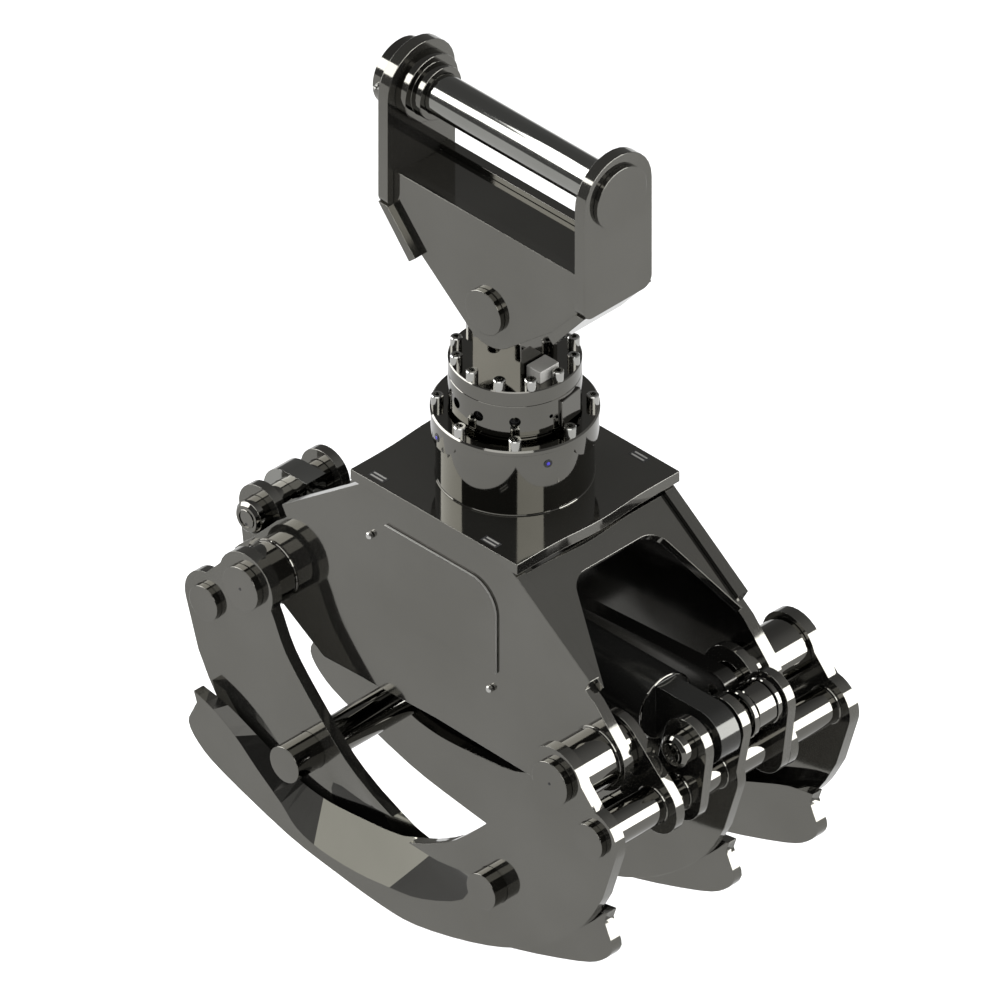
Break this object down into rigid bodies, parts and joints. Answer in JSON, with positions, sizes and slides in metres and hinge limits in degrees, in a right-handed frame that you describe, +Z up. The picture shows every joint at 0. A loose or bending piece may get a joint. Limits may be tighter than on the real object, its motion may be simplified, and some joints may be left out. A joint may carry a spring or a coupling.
{
  "type": "log grapple",
  "caption": "Rotator-hung log grapple: crossing three-tine jaws on a plate housing, one cylinder and a tie link inside, swing link above.",
  "frame": {"origin": "middle of the top hanger pin, on its axis", "axes": "+Z up, +X along the top pin and across the jaws, +Y along the jaw pins"},
  "size_m": [0.7202, 0.422, 1.0155],
  "materials": {
    "dark_steel_plate": "gloss",
    "machined_steel": "fine machined",
    "chromed_steel": "polished",
    "cylinder_paint": "satin"
  },
  "bodies": {
    "hanger": {"hanger_ear_left": "dark_steel_plate", "hanger_ear_right": "dark_steel_plate", "hanger_plate_front": "dark_steel_plate", "hanger_plate_rear": "dark_steel_plate", "hanger_floor": "dark_steel_plate", "hanger_apron_left": "dark_steel_plate", "hanger_apron_right": "dark_steel_plate", "hanger_top_pin": "chromed_steel", "hanger_pin_collar": "machined_steel", "swing_pin": "machined_steel"},
    "rotator": {"rotator_body": "machined_steel"},
    "housing": {"rotor_flange": "machined_steel", "housing_top_plate": "dark_steel_plate", "housing_side_front": "dark_steel_plate", "housing_side_rear": "dark_steel_plate", "housing_end_left": "dark_steel_plate", "housing_end_right": "dark_steel_plate", "housing_cover_front": "dark_steel_plate", "housing_cover_rear": "dark_steel_plate", "pivot_hub_left_front": "machined_steel", "pivot_hub_left_rear": "machined_steel", "pivot_hub_right_front": "machined_steel", "pivot_hub_right_rear": "machined_steel"},
    "right_jaw": {"right_tine_front": "dark_steel_plate", "right_tine_rear": "dark_steel_plate", "right_tine_centre": "dark_steel_plate", "right_fork_plate_front": "dark_steel_plate", "right_fork_plate_rear": "dark_steel_plate", "right_clevis_plate": "dark_steel_plate", "right_cross_tube": "machined_steel", "right_stop_bar": "machined_steel", "right_cylinder_pin": "machined_steel", "right_jaw_pin_front": "machined_steel", "right_jaw_pin_rear": "machined_steel", "right_sync_pin": "machined_steel"},
    "left_jaw": {"left_tine_front": "dark_steel_plate", "left_tine_rear": "dark_steel_plate", "left_tine_centre": "dark_steel_plate", "left_fork_plate_front": "dark_steel_plate", "left_fork_plate_rear": "dark_steel_plate", "left_clevis_plate": "dark_steel_plate", "left_cross_tube": "machined_steel", "left_stop_bar": "machined_steel", "left_cylinder_pin": "machined_steel", "left_jaw_pin_front": "machined_steel", "left_jaw_pin_rear": "machined_steel", "left_sync_pin": "machined_steel"},
    "barrel": {"cylinder_barrel": "cylinder_paint"},
    "rod": {"cylinder_rod": "chromed_steel"},
    "link": {"sync_link": "dark_steel_plate"}
  },
  "joints": [
    {"name": "swing", "type": "hinge", "parent": "hanger", "child": "rotator", "pos_m": [0, 0, -0.215], "axis": [0, 1, 0], "range_deg": [-35, 35]},
    {"name": "rotate", "type": "hinge", "parent": "rotator", "child": "housing", "pos_m": [0, 0, -0.454], "axis": [0, 0, 1], "continuous": true},
    {"name": "right_jaw_pivot", "type": "hinge", "parent": "housing", "child": "right_jaw", "pos_m": [0.254, 0, -0.654], "axis": [0, -1, 0], "range_deg": [0, 95]},
    {"name": "left_jaw_pivot", "type": "hinge", "parent": "housing", "child": "left_jaw", "pos_m": [-0.254, 0, -0.654], "axis": [0, 1, 0], "range_deg": [0, 95]},
    {"name": "barrel_pivot", "type": "hinge", "parent": "right_jaw", "child": "barrel", "pos_m": [0.3263, -0.02, -0.636], "axis": [0, 1, 0], "range_deg": [0, 95]},
    {"name": "rod_pivot", "type": "hinge", "parent": "left_jaw", "child": "rod", "pos_m": [-0.3263, -0.02, -0.636], "axis": [0, -1, 0], "range_deg": [0, 95]},
    {"name": "link_pivot", "type": "hinge", "parent": "right_jaw", "child": "link", "pos_m": [0.26875, 0.052, -0.64049], "axis": [0, 1, 0], "range_deg": [0, 95]}
  ],
  "couplings": [
    {"joint": "left_jaw_pivot", "follows": "right_jaw_pivot", "ratio": 1},
    {"joint": "barrel_pivot", "follows": "right_jaw_pivot", "ratio": 1},
    {"joint": "rod_pivot", "follows": "right_jaw_pivot", "ratio": 1},
    {"joint": "link_pivot", "follows": "right_jaw_pivot", "ratio": 1}
  ]
}
